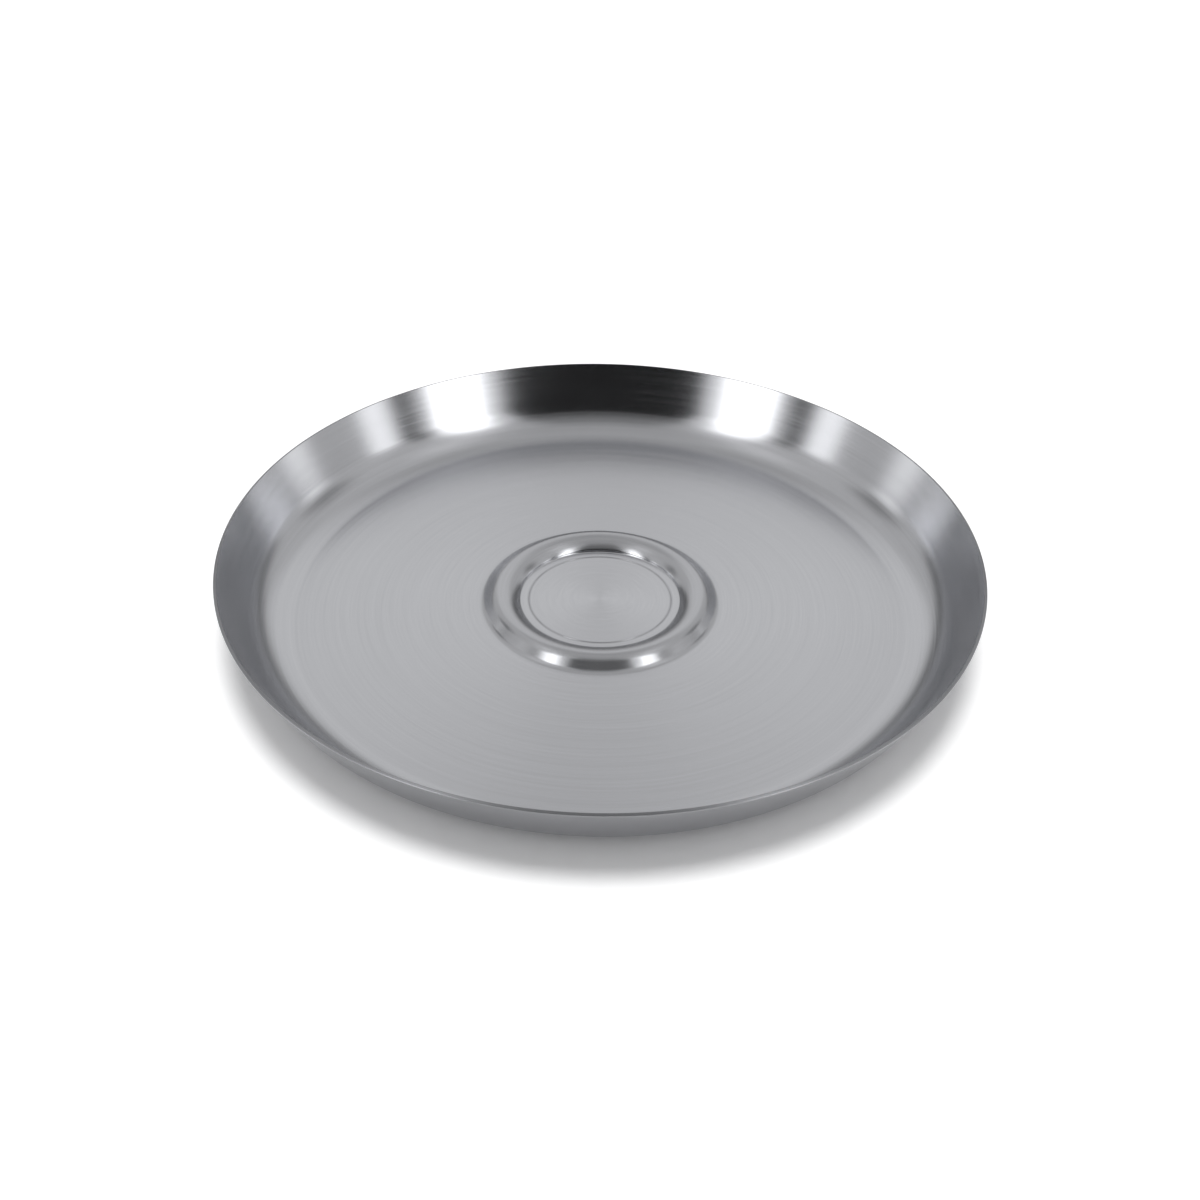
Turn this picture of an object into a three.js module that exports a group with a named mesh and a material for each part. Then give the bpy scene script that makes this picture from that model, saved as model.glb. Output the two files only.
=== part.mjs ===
// Round teapot tray, pressed from one steel sheet: flat floor, flared wall, raised ring in the middle.
// Millimetres, +Z up. The origin is on the tray's axis, at the level it stands on.
import * as THREE from 'three';

// Driving dimensions of the whole tray
const rimRadius = 160;
const trayHeight = 31.5;
const sheetThickness = 1.25;
const wallSlope = THREE.MathUtils.degToRad(63);
const wallBend = 21.8;

// Raised ring that keeps the pot's foot in the middle: a round bead that starts with a low, steep step
const discRadius = 34.3;
const ringFootRadius = 52.3;
const stepSlope = THREE.MathUtils.degToRad(70);
const stepLength = 0.3;
const stepBend = 0.8;
const shoulderSlope = THREE.MathUtils.degToRad(47);
const shoulderBend = 0.15;
const outerCrestBend = 6;
const ringFootBend = 4;
const crestRadius = (discRadius + ringFootRadius) / 2;

// Fine turned line on the disc inside the ring
const lineRadius = 30.9;
const lineWidth = 0.5;
const lineDepth = 0.15;

// Facets round the axis and along each bend
const turnSteps = 96;
const wallBendSteps = 7;
const crestSteps = 5;
const smallBendSteps = 3;

const steel = new THREE.MeshStandardMaterial({ color: 0xb4b5b9, roughness: 0.3, metalness: 1 });

// A station is a point of the sheet's upper face, with the slope of the face there.
function station(r, z, slope) {
  return { r, z, slope };
}

// A bend turns the face from one slope to another round an arc that starts at a station.
// Its radius is positive where the face curls upwards and negative where it curls over.
function bend(start, radius, endSlope, steps) {
  const centreR = start.r - radius * Math.sin(start.slope);
  const centreZ = start.z + radius * Math.cos(start.slope);
  const stations = [];
  for (let i = 1; i <= steps; i += 1) {
    const slope = THREE.MathUtils.lerp(start.slope, endSlope, i / steps);
    stations.push(station(centreR + radius * Math.sin(slope), centreZ - radius * Math.cos(slope), slope));
  }
  return stations;
}

// Two opposite bends and the straight between them climb from one level to another.
// Bends too large for their flank are limited to it, which leaves no straight.
function climb(run, rise, lowRadius, highRadius) {
  const largestSum = (run * run + rise * rise) / (2 * rise);
  const fit = Math.min(1, largestSum / (lowRadius + highRadius));
  const sum = fit * (lowRadius + highRadius);
  const straight = Math.sqrt(Math.max(0, run * run + rise * rise - 2 * sum * rise));
  const slope = Math.atan2(rise - sum, run) + Math.atan2(sum, straight);
  return { low: fit * lowRadius, high: fit * highRadius, straight, slope };
}

// The end of a straight that goes on from a station at its slope
function onward(start, length) {
  const r = start.r + length * Math.cos(start.slope);
  return station(r, start.z + length * Math.sin(start.slope), start.slope);
}

// The ring's inner flank: a low step, a tight shoulder, then one round arc up to the crest
function innerFlank(discEdge) {
  const foot = bend(discEdge, stepBend, stepSlope, smallBendSteps);
  const top = onward(foot.at(-1), stepLength);
  const shoulder = bend(top, -shoulderBend - sheetThickness, shoulderSlope, smallBendSteps);
  const arcStart = shoulder.at(-1);
  const crestBend = (crestRadius - arcStart.r) / Math.sin(shoulderSlope);
  return [...foot, top, ...shoulder, ...bend(arcStart, -crestBend, 0, crestSteps)];
}

// The outer flank falls from the crest to a wider bend at the ring's foot.
function outerFlank(crest) {
  const rise = crest.z - sheetThickness;
  const flank = climb(ringFootRadius - crestRadius, rise, ringFootBend, outerCrestBend);
  const over = bend(crest, -flank.high, -flank.slope, crestSteps);
  const base = onward(over.at(-1), flank.straight);
  const foot = bend(base, flank.low, 0, smallBendSteps);
  return flank.straight > 0 ? [...over, base, ...foot] : [...over, ...foot];
}

// The wall leaves the floor in one large bend and ends at the inner corner of the rim.
function wall() {
  const rimInnerRadius = rimRadius - sheetThickness * Math.sin(wallSlope);
  const bendRise = wallBend * (1 - Math.cos(wallSlope));
  const straightRise = trayHeight - sheetThickness - bendRise;
  const bendEndRadius = rimInnerRadius - straightRise / Math.tan(wallSlope);
  const floorEdge = station(bendEndRadius - wallBend * Math.sin(wallSlope), sheetThickness, 0);
  return [
    floorEdge,
    ...bend(floorEdge, wallBend, wallSlope, wallBendSteps),
    station(rimInnerRadius, trayHeight, wallSlope),
  ];
}

// Upper face of the sheet, from the disc's edge out to the rim
function sheetFace() {
  const discEdge = station(discRadius, sheetThickness, 0);
  const inner = innerFlank(discEdge);
  return [discEdge, ...inner, ...outerFlank(inner.at(-1)), ...wall()];
}

// The underside lies one sheet thickness below the upper face, square to it.
function underside({ r, z, slope }) {
  return new THREE.Vector2(r + sheetThickness * Math.sin(slope), z - sheetThickness * Math.cos(slope));
}

// Flat disc from the axis outwards, with the fine turned line cut into it
function discTop() {
  return [
    new THREE.Vector2(0, sheetThickness),
    new THREE.Vector2(lineRadius - lineWidth / 2, sheetThickness),
    new THREE.Vector2(lineRadius, sheetThickness - lineDepth),
    new THREE.Vector2(lineRadius + lineWidth / 2, sheetThickness),
  ];
}

// Closed section of the sheet: out along the underside, over the cut rim, back along the upper face
function sheetSection() {
  const face = sheetFace();
  const upper = face.map(({ r, z }) => new THREE.Vector2(r, z));
  const lower = face.map(underside);
  return [new THREE.Vector2(0, 0), ...lower, ...upper.reverse(), ...discTop().reverse()];
}

function buildTray() {
  const tray = new THREE.Mesh(new THREE.LatheGeometry(sheetSection(), turnSteps), steel);
  tray.name = 'tray';
  tray.rotation.x = Math.PI / 2;
  return tray;
}

const teapotTray = new THREE.Group();
teapotTray.name = 'teapot_tray';
teapotTray.add(buildTray());

export default teapotTray;
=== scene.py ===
# Round teapot tray, pressed from one sheet of satin steel, on a plain pale floor.
import math

import bpy
import numpy as np
from mathutils import Matrix, Vector


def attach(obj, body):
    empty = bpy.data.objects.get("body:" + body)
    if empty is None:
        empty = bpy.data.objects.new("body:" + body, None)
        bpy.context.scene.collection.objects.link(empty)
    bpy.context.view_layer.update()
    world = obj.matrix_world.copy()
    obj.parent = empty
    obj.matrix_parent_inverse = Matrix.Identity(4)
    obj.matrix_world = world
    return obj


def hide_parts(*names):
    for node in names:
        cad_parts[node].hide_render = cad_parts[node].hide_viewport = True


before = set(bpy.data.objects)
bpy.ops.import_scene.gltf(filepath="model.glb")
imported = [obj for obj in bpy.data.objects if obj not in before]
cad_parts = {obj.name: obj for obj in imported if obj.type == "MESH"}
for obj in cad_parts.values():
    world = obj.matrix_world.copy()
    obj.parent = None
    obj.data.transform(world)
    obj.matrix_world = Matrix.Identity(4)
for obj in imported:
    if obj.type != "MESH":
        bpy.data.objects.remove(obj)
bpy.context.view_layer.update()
print("frame:", ", ".join(sorted(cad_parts)))

mm = 0.001


# Camera, in the frame of the picture: 1200 by 1200
camera = {
    "distance": 620 * mm,
    "elevation": math.radians(37.1),
    "aim": (0, 0.33 * mm, 0),
    "roll": math.radians(1.071),
    "focalLength": 42.69,  # in millimetres, as is the sensor's width
    "sensorWidth": 36,
    "nearest": 0.01,
    "furthest": 20,
}


# The camera stands off its aim along the sight line and is rolled about that line.
def makeCamera(name):
    data = bpy.data.cameras.new(name)
    data.lens = camera["focalLength"]
    data.sensor_width = camera["sensorWidth"]
    data.clip_start = camera["nearest"]
    data.clip_end = camera["furthest"]
    aim = Vector(camera["aim"])
    back = Vector((0, -math.cos(camera["elevation"]), math.sin(camera["elevation"])))
    turn = back.to_track_quat("Z", "Y").to_matrix().to_4x4()
    roll = Matrix.Rotation(camera["roll"], 4, "Z")
    made = bpy.data.objects.new(name, data)
    made.matrix_world = Matrix.Translation(aim + back * camera["distance"]) @ turn @ roll
    bpy.context.collection.objects.link(made)
    return made


bpy.context.scene.camera = makeCamera("camera")
print("camera ready")


# The tray's sheet: sizes in metres, the same as the solid's
tray = {
    "rimRadius": 160 * mm,
    "height": 31.5 * mm,
    "thickness": 1.25 * mm,
    "wallSlope": math.radians(63),
    "wallBend": 21.8 * mm,
    "edgeBreak": 0.25 * mm,
    "discRadius": 34.3 * mm,
    "ringFootRadius": 52.3 * mm,
    "stepSlope": math.radians(70),
    "stepLength": 0.3 * mm,
    "stepBend": 0.8 * mm,
    "shoulderSlope": math.radians(47),
    "shoulderBend": 0.15 * mm,
    "outerCrestBend": 6 * mm,
    "ringFootBend": 4 * mm,
    "lineRadius": 30.9 * mm,
    "lineWidth": 0.5 * mm,
    "lineDepth": 0.15 * mm,
    "leadShare": 0.98,  # how far out to the turned line the disc's even steps go
    "turns": 360,  # steps round the axis
    "bendSteps": 32,  # along the wall's bend
    "crestSteps": 20,  # along each side of the ring's crest
    "smallSteps": 12,  # along each small bend
    "flatSteps": 3,  # along each straight
    "lineSteps": 8,  # across the turned line
    "breakSteps": 4,  # round each broken edge
}


# A station is a row (r, z, slope) of the upper face. A bend is an arc to another slope:
# r moves by radius * (sin slope - sin start) and z by -radius * (cos slope - cos start).
def bend(start, radius, endSlope, count):
    r, z, slope = start
    slopes = np.linspace(slope, endSlope, count + 1)[1:]
    rs = r + radius * (np.sin(slopes) - np.sin(slope))
    zs = z - radius * (np.cos(slopes) - np.cos(slope))
    return np.column_stack([rs, zs, slopes])


# A straight goes on at its start's slope in equal steps along the face.
def straight(start, length, count):
    r, z, slope = start
    along = np.linspace(0, length, count + 1)[1:]
    return np.column_stack([r + along * np.cos(slope), z + along * np.sin(slope), np.full(count, slope)])


# Two opposite bends and the straight between them climb from one level to another:
# length of the straight = sqrt(run squared + rise squared - 2 * sum of radii * rise).
def climb(run, rise, low, high):
    fit = min(1, (run ** 2 + rise ** 2) / (2 * rise * (low + high)))
    total = fit * (low + high)
    length = math.sqrt(max(0, run ** 2 + rise ** 2 - 2 * total * rise))
    return fit * low, fit * high, length, math.atan2(rise - total, run) + math.atan2(total, length)


# The ring: up a low step and over a tight shoulder, round to the crest halfway between
# its feet, then down to the wider bend at its outer foot
def ring(start):
    crestRadius = (tray["discRadius"] + tray["ringFootRadius"]) / 2
    foot = bend(start, tray["stepBend"], tray["stepSlope"], tray["smallSteps"])
    step = straight(foot[-1], tray["stepLength"], tray["flatSteps"])
    shoulderRadius = tray["shoulderBend"] + tray["thickness"]
    shoulder = bend(step[-1], -shoulderRadius, tray["shoulderSlope"], tray["smallSteps"])
    crestBend = (crestRadius - shoulder[-1][0]) / math.sin(tray["shoulderSlope"])
    crest = bend(shoulder[-1], -crestBend, 0, tray["crestSteps"])
    run, rise = tray["ringFootRadius"] - crestRadius, crest[-1][1] - tray["thickness"]
    low, high, length, slope = climb(run, rise, tray["ringFootBend"], tray["outerCrestBend"])
    over = bend(crest[-1], -high, -slope, tray["crestSteps"])
    fall = straight(over[-1], length, tray["flatSteps"])
    outerFoot = bend(fall[-1], low, 0, tray["smallSteps"])
    return np.vstack([foot, step, shoulder, crest, over, fall, outerFoot])


# The wall: one large bend out of the floor, then straight up to the broken edge.
def wall(start):
    slope = tray["wallSlope"]
    rise = tray["wallBend"] * (1 - math.cos(slope))
    length = (tray["height"] - tray["thickness"] - rise) / math.sin(slope)
    arc = bend(start, tray["wallBend"], slope, tray["bendSteps"])
    return np.vstack([arc, straight(arc[-1], length - tray["edgeBreak"], tray["flatSteps"])])


# Radius at which the floor ends and the wall's bend begins
def floorEnd():
    slope = tray["wallSlope"]
    rise = tray["wallBend"] * (1 - math.cos(slope))
    reach = tray["wallBend"] * math.sin(slope)
    inner = tray["rimRadius"] - tray["thickness"] * math.sin(slope)
    return inner - (tray["height"] - tray["thickness"] - rise) / math.tan(slope) - reach


# The disc's top with its turned line, a raised-cosine groove:
# depth * (1 + cos(2 pi x / width)) / 2 across the width.
def discTop():
    x = np.linspace(-0.5, 0.5, tray["lineSteps"] + 1)
    drop = tray["lineDepth"] * (1 + np.cos(2 * np.pi * x)) / 2
    slope = np.arctan(tray["lineDepth"] * np.pi * np.sin(2 * np.pi * x) / tray["lineWidth"])
    groove = np.column_stack([tray["lineRadius"] + x * tray["lineWidth"], tray["thickness"] - drop, slope])
    inside = straight((0, tray["thickness"], 0), groove[0][0] * tray["leadShare"], tray["flatSteps"])
    return np.vstack([inside, groove, [[tray["discRadius"], tray["thickness"], 0]]])


# Round the cut rim: a quarter turn over the inner corner and one over the outer corner.
# Rows are (r, z, normal r, normal z).
def cutRim():
    slope, size = tray["wallSlope"], tray["edgeBreak"]
    up = np.array([math.cos(slope), math.sin(slope)])
    out = np.array([math.sin(slope), -math.cos(slope)])
    corner = np.array([tray["rimRadius"] - tray["thickness"] * out[0], tray["height"]])
    turn = np.linspace(0, np.pi / 2, tray["breakSteps"] + 1)[:, None]
    innerNormal = up * np.sin(turn) - out * np.cos(turn)
    outerNormal = up * np.cos(turn) + out * np.sin(turn)
    inner = corner - up * size + out * size + innerNormal * size
    outer = corner - up * size + out * (tray["thickness"] - size) + outerNormal * size
    return np.vstack([np.hstack([inner, innerNormal]), np.hstack([outer, outerNormal])])


# Normals of the upper face: (-sin slope, cos slope)
def faceNormals(rows):
    return np.column_stack([-np.sin(rows[:, 2]), np.cos(rows[:, 2])])


# The whole closed section, from the axis on top, over the rim, back to the axis below.
# The underside lies one thickness from the upper face, square to it.
def section():
    disc = discTop()
    bead = ring(disc[-1])
    floor = straight(bead[-1], floorEnd() - bead[-1][0], tray["flatSteps"])
    face = np.vstack([bead, floor, wall(floor[-1])])
    upper = np.vstack([disc, face])
    plainDisc = straight((0, tray["thickness"], 0), tray["discRadius"], tray["flatSteps"])
    over = np.vstack([plainDisc, face])  # what the underside follows, without the turned line
    top = np.hstack([upper[:, :2], faceNormals(upper)])
    below = np.hstack([over[:, :2] - faceNormals(over) * tray["thickness"], -faceNormals(over)])
    return np.vstack([top, cutRim()[1:-1], below[::-1]])


# Four-sided faces between the rows of a grid of vertices that closes on itself sideways
def ringQuads(grid):
    here, there = grid[:-1], grid[1:]
    return np.stack([here, there, np.roll(there, -1, 1), np.roll(here, -1, 1)], -1).reshape(-1, 4)


# A surface turned round Z: x = r * cos(angle), y = r * sin(angle), one vertex at each pole.
def turned(name, rows, count):
    angle = np.arange(count) * (2 * np.pi / count)
    cos, sin = np.cos(angle), np.sin(angle)
    r, z, nr, nz = (rows[:, i][:, None] for i in range(4))
    shape = (len(rows), count)
    points = np.stack([r * cos, r * sin, np.broadcast_to(z, shape)], -1).reshape(-1, 3)
    normals = np.stack([nr * cos, nr * sin, np.broadcast_to(nz, shape)], -1).reshape(-1, 3)
    topPole, basePole = len(points), len(points) + 1
    points = np.vstack([points, [[0, 0, tray["thickness"]], [0, 0, 0]]])
    normals = np.vstack([normals, [[0, 0, 1], [0, 0, -1]]])
    grid = np.arange(len(rows) * count).reshape(shape)
    first, last = grid[0], grid[-1]
    top = np.column_stack([np.full(count, topPole), first, np.roll(first, -1)])
    base = np.column_stack([np.full(count, basePole), np.roll(last, -1), last])
    mesh = bpy.data.meshes.new(name)
    mesh.from_pydata(points.tolist(), [], ringQuads(grid).tolist() + top.tolist() + base.tolist())
    mesh.shade_smooth()
    mesh.normals_split_custom_set_from_vertices(normals.tolist())
    made = bpy.data.objects.new(name, mesh)
    bpy.context.collection.objects.link(made)
    return made


traySheet = turned("tray_sheet", section(), tray["turns"])
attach(traySheet, "root")
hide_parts("tray")
print("tray:", len(traySheet.data.polygons), "faces")


# A socket with arithmetic on it: an expression on values adds Math nodes.
class Value:
    def __init__(self, shader, socket):
        self.shader = shader
        self.socket = socket

    def math(self, operation, *others):
        values = dict(enumerate((self, *others)))
        return self.shader.node("ShaderNodeMath", {"operation": operation}, values)

    def clamp(self):
        return self.shader.node("ShaderNodeClamp", {}, {0: self})

    def __add__(self, other):
        return self.math("ADD", other)

    def __sub__(self, other):
        return self.math("SUBTRACT", other)

    def __rsub__(self, other):
        return self.shader.node("ShaderNodeMath", {"operation": "SUBTRACT"}, {0: other, 1: self})

    def __mul__(self, other):
        return self.math("MULTIPLY", other)

    def __truediv__(self, other):
        return self.math("DIVIDE", other)

    def __pow__(self, other):
        return self.math("POWER", other)


# One node tree, and the one way to add a node to it: type, settings, then values or links.
class Shader:
    def __init__(self, tree):
        self.tree = tree
        tree.nodes.clear()

    def node(self, kind, settings=None, inputs=None, output=0):
        made = self.tree.nodes.new(kind)
        for name, value in (settings or {}).items():
            setattr(made, name, value)
        for name, value in (inputs or {}).items():
            if isinstance(value, Value):
                self.tree.links.new(value.socket, made.inputs[name])
            else:
                made.inputs[name].default_value = value
        return Value(self, made.outputs[output]) if made.outputs else made


# Satin steel: fine circles round the axis, as the sheet was brushed on a turning plate
steel = {
    "dull": (0.522, 0.528, 0.549, 1),
    "bright": (0.682, 0.689, 0.717, 1),
    "roughness": 0.215,
    "anisotropy": 0.8,
    "rotation": 0.25,  # in turns: the lines of light run across the circles
    "grain": [  # (width of a line, changes round the axis, height, weight in roughness, in tone)
        (0.45 * mm, 2.2, 0.003 * mm, 0.05, 0.36),
        (1.3 * mm, 1.3, 0.014 * mm, 0.05, 0.28),
        (3.5 * mm, 0.9, 0.035 * mm, 0.04, 0.20),
        (11.0 * mm, 0.7, 0.040 * mm, 0.03, 0.20),
    ],
    "grainDetail": 1.5,
    "middleTone": 0.5,  # 0 is all dull, 1 is all bright
    "cloudSize": 60 * mm,
    "cloudDetail": 3,
    "cloudRoughness": 0.06,
    "cloudTone": 0.3,
    "bandTop": 1.3,  # height of a band's middle before it is cut off at 1, which makes it flat there
    "lineBand": 0.85 * mm,  # painted shade darkens the steel on both sides of the turned line
    "lineShade": 0.55,
    "waveSize": 8 * mm,  # slight waves that the press left in the ring's outer flank
    "waveHeight": 0.08 * mm,
    "waveDetail": 1,
    "waveReach": 5 * mm,
    "flankShare": 0.7,  # of the way from the crest to the outer foot, where the waves have their middle
    # painted shade: how much darker the ring's colour is round its crest
    "ringCrestShade": 0.35,
    "paintedOutsideShade": (0.6, 0.6, 0.605, 1),  # painted shade: the outside, which faces down, and the cut rim get a darker colour than the inside
    "facingDown": -0.1,  # a normal with less z than this is outside
    "pitSpacing": 26 * mm,
    "pitSize": 0.32 * mm,
    "pitShare": 0.35,  # of the cells, those with a pit at their middle
    "pitRoughness": 0.2,
    "cutRoughness": 0.14,
    "axisSquare": (0.03 * mm) ** 2,  # keeps the radius over 0 at the axis
}


# Noise of one size, spread round 0
def noise(shader, vector, scale, detail):
    return shader.node("ShaderNodeTexNoise", {}, {"Vector": vector, "Scale": scale, "Detail": detail}) - 0.5


# A soft band round one radius: 1 over its middle, 0 well before and after it
def band(r, middle, reach):
    out = (r - middle) / reach
    return (steel["bandTop"] - out * out).clamp()


# Lines of one width: noise that changes fast across the circles and slowly round them.
# Across is r + z, which grows along the floor and up the wall alike.
def grainLines(shader, x, y, r, z, width, turns):
    across = (r + z) / width
    vector = shader.node("ShaderNodeCombineXYZ", {}, {0: x / r * turns, 1: y / r * turns, 2: across})
    return noise(shader, vector, 1, steel["grainDetail"])


# A few tiny pits, which show where the middle of such a cell lies at the surface
def pits(shader, place):
    cells = {"Vector": place, "Scale": 1 / steel["pitSpacing"]}
    near = shader.node("ShaderNodeTexVoronoi", {}, cells, "Distance") * steel["pitSpacing"]
    cellColour = shader.node("ShaderNodeTexVoronoi", {}, cells, "Color")
    lot = shader.node("ShaderNodeSeparateColor", {}, {0: cellColour})
    return near.math("LESS_THAN", steel["pitSize"]) * lot.math("LESS_THAN", steel["pitShare"])


# The cut rim lies square to the wall, where r * cos(slope) + z * sin(slope) is largest.
def cutMask(r, z):
    up = (math.cos(tray["wallSlope"]), math.sin(tray["wallSlope"]))
    inner = tray["rimRadius"] - tray["thickness"] * up[1]
    edge = inner * up[0] + tray["height"] * up[1] - tray["edgeBreak"]
    return (r * up[0] + z * up[1]).math("GREATER_THAN", edge)


# Painted shade goes on the outside, which faces down everywhere.
def downFacingShadeMask(shader):
    facing = shader.node("ShaderNodeTexCoord", {}, {}, "Normal")
    up = shader.node("ShaderNodeSeparateXYZ", {}, {0: facing}, "Z")
    return up.math("LESS_THAN", steel["facingDown"])


# From one colour to another by a share, or by that share of their product
def mixColours(shader, share, first, second, blend="MIX"):
    settings = {"data_type": "RGBA", "blend_type": blend}
    return shader.node("ShaderNodeMix", settings, {0: share, 6: first, 7: second}, 2)


def satinSteel():
    material = bpy.data.materials.new("satin steel")
    material.use_nodes = True
    shader = Shader(material.node_tree)
    place = shader.node("ShaderNodeTexCoord", {}, {}, "Object")
    x, y, z = (shader.node("ShaderNodeSeparateXYZ", {}, {0: place}, axis) for axis in "XYZ")
    r = (x * x + y * y + steel["axisSquare"]) ** 0.5
    cloud = noise(shader, place, 1 / steel["cloudSize"], steel["cloudDetail"])
    roughness = cloud * steel["cloudRoughness"] + steel["roughness"]
    tone = cloud * steel["cloudTone"] + steel["middleTone"]

    # the ring gets painted shade round its crest, and is slightly wavy on its outer flank
    crest = (tray["discRadius"] + tray["ringFootRadius"]) / 2
    reach = (tray["ringFootRadius"] - tray["discRadius"]) / 2
    onFlank = band(r, crest + reach * steel["flankShare"], steel["waveReach"])
    waves = noise(shader, place, 1 / steel["waveSize"], steel["waveDetail"])
    height = waves * onFlank * steel["waveHeight"]
    for width, turns, depth, inRoughness, inTone in steel["grain"]:
        lines = grainLines(shader, x, y, r, z, width, turns)
        roughness = roughness + lines * inRoughness
        tone = tone + lines * inTone
        height = height + lines * depth

    pit = pits(shader, place)
    cut = cutMask(r, z)
    # painted shade round the ring's crest
    ringCrestShade = band(r, crest, reach) * steel["ringCrestShade"]
    # painted shade: a darker band of colour beside the turned line
    lineShade = band(r, tray["lineRadius"], steel["lineBand"]) * steel["lineShade"]
    tone = (tone - pit - lineShade - ringCrestShade).clamp()
    colour = mixColours(shader, tone, steel["dull"], steel["bright"])
    # painted shade: the outside and the cut rim are multiplied by a darker colour
    paintedOutsideShade = downFacingShadeMask(shader).math("MAXIMUM", cut)
    colour = mixColours(shader, paintedOutsideShade, colour, steel["paintedOutsideShade"], "MULTIPLY")
    bump = shader.node("ShaderNodeBump", {}, {"Strength": 1, "Distance": 1, "Height": height})
    surface = shader.node(
        "ShaderNodeBsdfPrincipled",
        {},
        {
            "Base Color": colour,
            "Metallic": 1,
            "Roughness": roughness + pit * steel["pitRoughness"] + cut * steel["cutRoughness"],
            "Normal": bump,
            "Anisotropic": steel["anisotropy"],
            "Anisotropic Rotation": steel["rotation"],
        },
    )
    shader.node("ShaderNodeOutputMaterial", {}, {"Surface": surface})
    return material


traySheet.data.materials.append(satinSteel())
print("steel ready")


# Floor and studio. A wide lamp overhead lights the floor. The steel mirrors a dome, with soft panels
# painted on it one over another: (azimuth, elevation, half width, half height, edge, light).
# Azimuth is 0 towards the camera and 180 behind the tray, alike on both sides.
stage = {
    "floorColour": 0.8,
    "floorSeen": 1.2,  # the floor's colour as the camera and the steel see it
    "lampLight": 0.5 * math.pi,
    "lampAngle": math.radians(22),
    "fill": 0.5,  # light from all round on the floor
    "radius": 6,
    "turns": 180,
    "rings": 60,
    "turn": -0.4,  # degrees that the panels stand turned round the tray
    "room": 0.575,  # light of the dome between the panels
    "panels": [
        (180, 35, 24, 12, 12, 0.76),
        (180, 54, 6, 9, 8, 0.52),
        (125, 66, 65, 8, 12, 0.60),
        (180, 60, 32, 8, 10, 0.44),
        (104, 67, 9, 6, 10, 0.95),
        (156, 4, 26, 13, 9, 0.12),
        (180, 0, 12, 8, 8, 0.30),
        (0, 90, 180, 17, 12, 0.48),
        (0, 60, 36, 16, 12, 0.22),
        (0, 20, 40, 32, 3, 0.9),
        (0, 20, 34, 32, 3, 0.006),
        (49.5, 18, 9, 22, 3, 2.8),
        (54, 46, 8, 11, 8, 2.6),
        (67.5, 24, 4, 15, 4, 0.05),
        (77, 12, 5, 14, 5, 1.7),
        (114, 34, 9, 8, 8, 0.22),
        (107, 10, 5, 10, 7, 1.3),
    ],
}


def plain(name, points, faces, material):
    mesh = bpy.data.meshes.new(name)
    mesh.from_pydata(points, [], faces)
    mesh.materials.append(material)
    made = bpy.data.objects.new(name, mesh)
    bpy.context.collection.objects.link(made)
    return made


# 1 on rays from the camera and from what mirrors or lets light through, 0 on the rest
def seenRays(shader):
    seen = 0
    for ray in ("Is Camera Ray", "Is Glossy Ray", "Is Transmission Ray"):
        kind = shader.node("ShaderNodeLightPath", {}, {}, ray)
        seen = kind.math("MAXIMUM", seen) if seen else kind
    return seen


# A pale floor, which those rays see lifted to white with its shadow
def paleFloor():
    material = bpy.data.materials.new("pale floor")
    material.use_nodes = True
    shader = Shader(material.node_tree)
    level = seenRays(shader) * (stage["floorSeen"] - stage["floorColour"]) + stage["floorColour"]
    colour = shader.node("ShaderNodeCombineColor", {}, {0: level, 1: level, 2: level})
    surface = shader.node("ShaderNodeBsdfDiffuse", {}, {"Color": colour})
    shader.node("ShaderNodeOutputMaterial", {}, {"Surface": surface})
    return material


# 1 within half the width of the centre, falling smoothly to 0 across the edge:
# t * t * (3 - 2 t), where t is how far the distance is through the edge
def window(value, centre, half, edge):
    t = np.clip((half + edge / 2 - np.abs(value - centre)) / edge, 0, 1)
    return t * t * (3 - 2 * t)


# The light at each place of the dome: each panel covers what is under it by its window.
def panelLight(azimuth, elevation):
    light = np.full(azimuth.shape, stage["room"])
    for at, up, halfWidth, halfHeight, edge, level in stage["panels"]:
        share = window(azimuth, at, halfWidth, edge) * window(elevation, up, halfHeight, edge)
        light += share * (level - light)
    return light


def studioLight():
    material = bpy.data.materials.new("studio light")
    material.use_nodes = True
    material.cycles.emission_sampling = "NONE"
    shader = Shader(material.node_tree)
    light = shader.node("ShaderNodeAttribute", {"attribute_name": "light"}, {}, "Fac")
    glow = shader.node("ShaderNodeEmission", {}, {"Color": (1, 1, 1, 1), "Strength": light})
    shader.node("ShaderNodeOutputMaterial", {}, {"Surface": glow})
    return material


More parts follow.
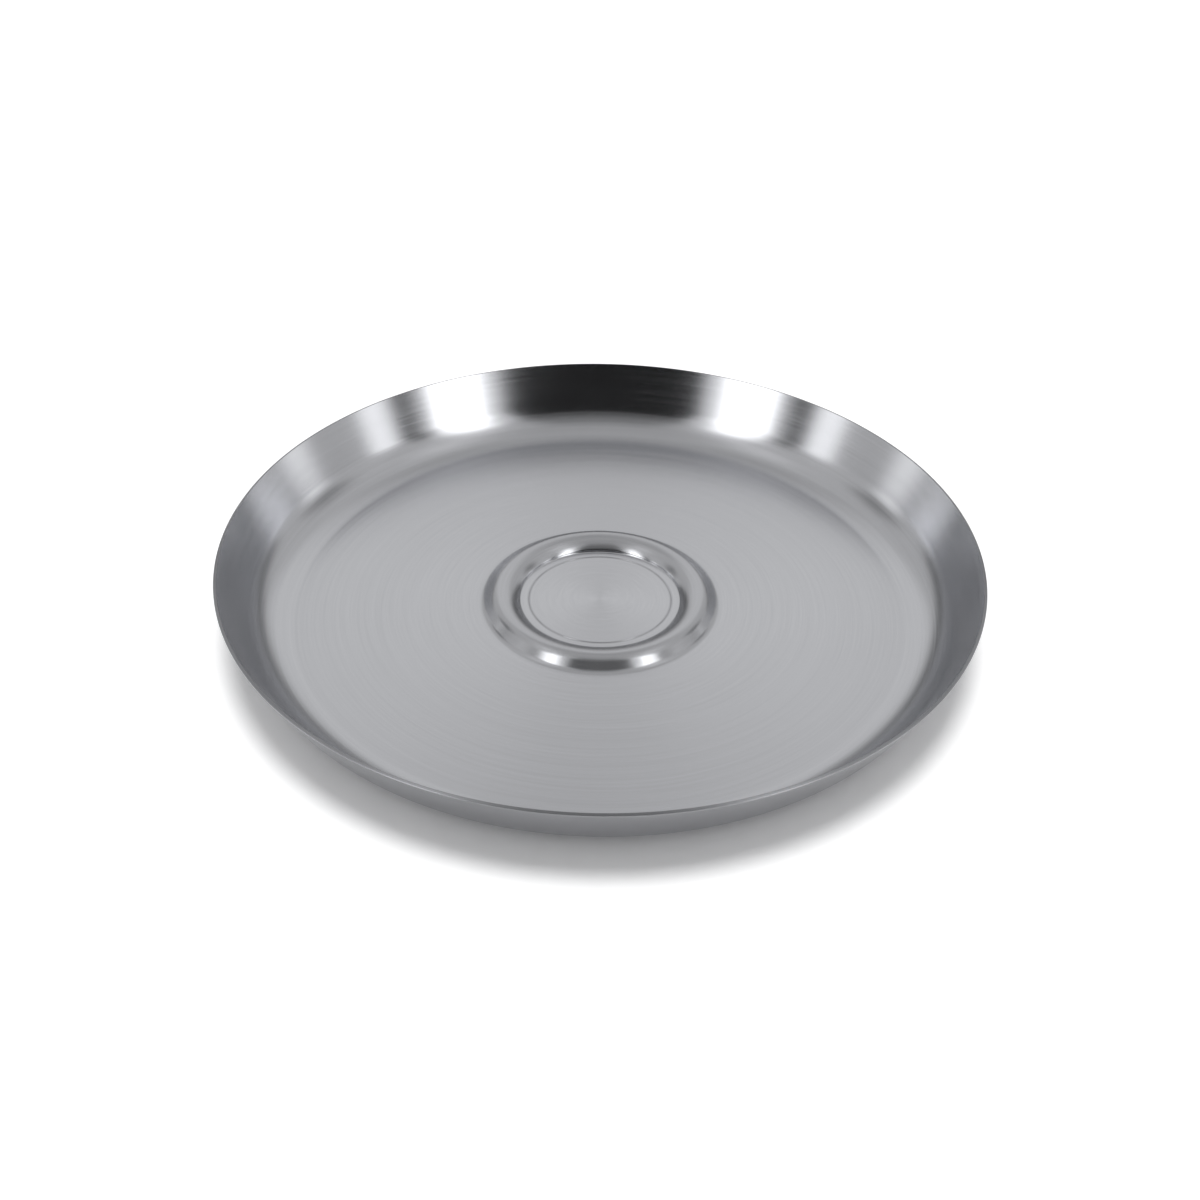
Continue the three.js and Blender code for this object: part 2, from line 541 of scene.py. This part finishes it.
# Dome: rows of one elevation each, radius * (cos e sin a, -cos e cos a, sin e)
def makeDome():
    a = np.arange(stage["turns"]) * (2 * np.pi / stage["turns"])
    e = np.linspace(0, np.pi / 2, stage["rings"], endpoint=False)[:, None]
    shape = (stage["rings"], stage["turns"])
    up = np.broadcast_to(np.sin(e), shape)
    points = np.stack([np.cos(e) * np.sin(a), -np.cos(e) * np.cos(a), up], -1).reshape(-1, 3)
    grid = np.arange(len(points)).reshape(shape)
    last = grid[-1]
    cap = np.column_stack([np.full(stage["turns"], len(points)), np.roll(last, -1), last])
    corners = (np.vstack([points, [[0, 0, 1]]]) * stage["radius"]).tolist()
    dome = plain("studio", corners, ringQuads(grid).tolist() + cap.tolist(), studioLight())
    azimuth = np.abs((np.degrees(a) + stage["turn"] + 180) % 360 - 180)
    light = panelLight(*np.broadcast_arrays(azimuth, np.degrees(e))).ravel()
    top = panelLight(np.zeros(1), np.full(1, 90.0))
    lights = dome.data.attributes.new("light", "FLOAT", "POINT")
    lights.data.foreach_set("value", np.append(light, top))
    dome.visible_camera = False
    dome.visible_diffuse = False
    dome.visible_shadow = False


def makeLamp():
    light = bpy.data.lights.new("lamp", "SUN")
    light.energy = stage["lampLight"]
    light.angle = stage["lampAngle"]
    lamp = bpy.data.objects.new("lamp", light)
    lamp.visible_glossy = False
    bpy.context.collection.objects.link(lamp)


half = stage["radius"]
floorCorners = [(-half, -half, 0), (half, -half, 0), (half, half, 0), (-half, half, 0)]
plain("floor", floorCorners, [(0, 1, 2, 3)], paleFloor())
makeDome()
makeLamp()

# Round the floor all is seen white. As light on the floor it counts only as the fill.
world = bpy.data.worlds.new("white surround")
world.use_nodes = True
bpy.context.scene.world = world
surround = Shader(world.node_tree)
strength = seenRays(surround) * (1 - stage["fill"]) + stage["fill"]
white = surround.node("ShaderNodeBackground", {}, {"Color": (1, 1, 1, 1), "Strength": strength})
surround.node("ShaderNodeOutputWorld", {}, {"Surface": white})
print("studio ready")

bpy.context.scene.view_settings.view_transform = "Standard"
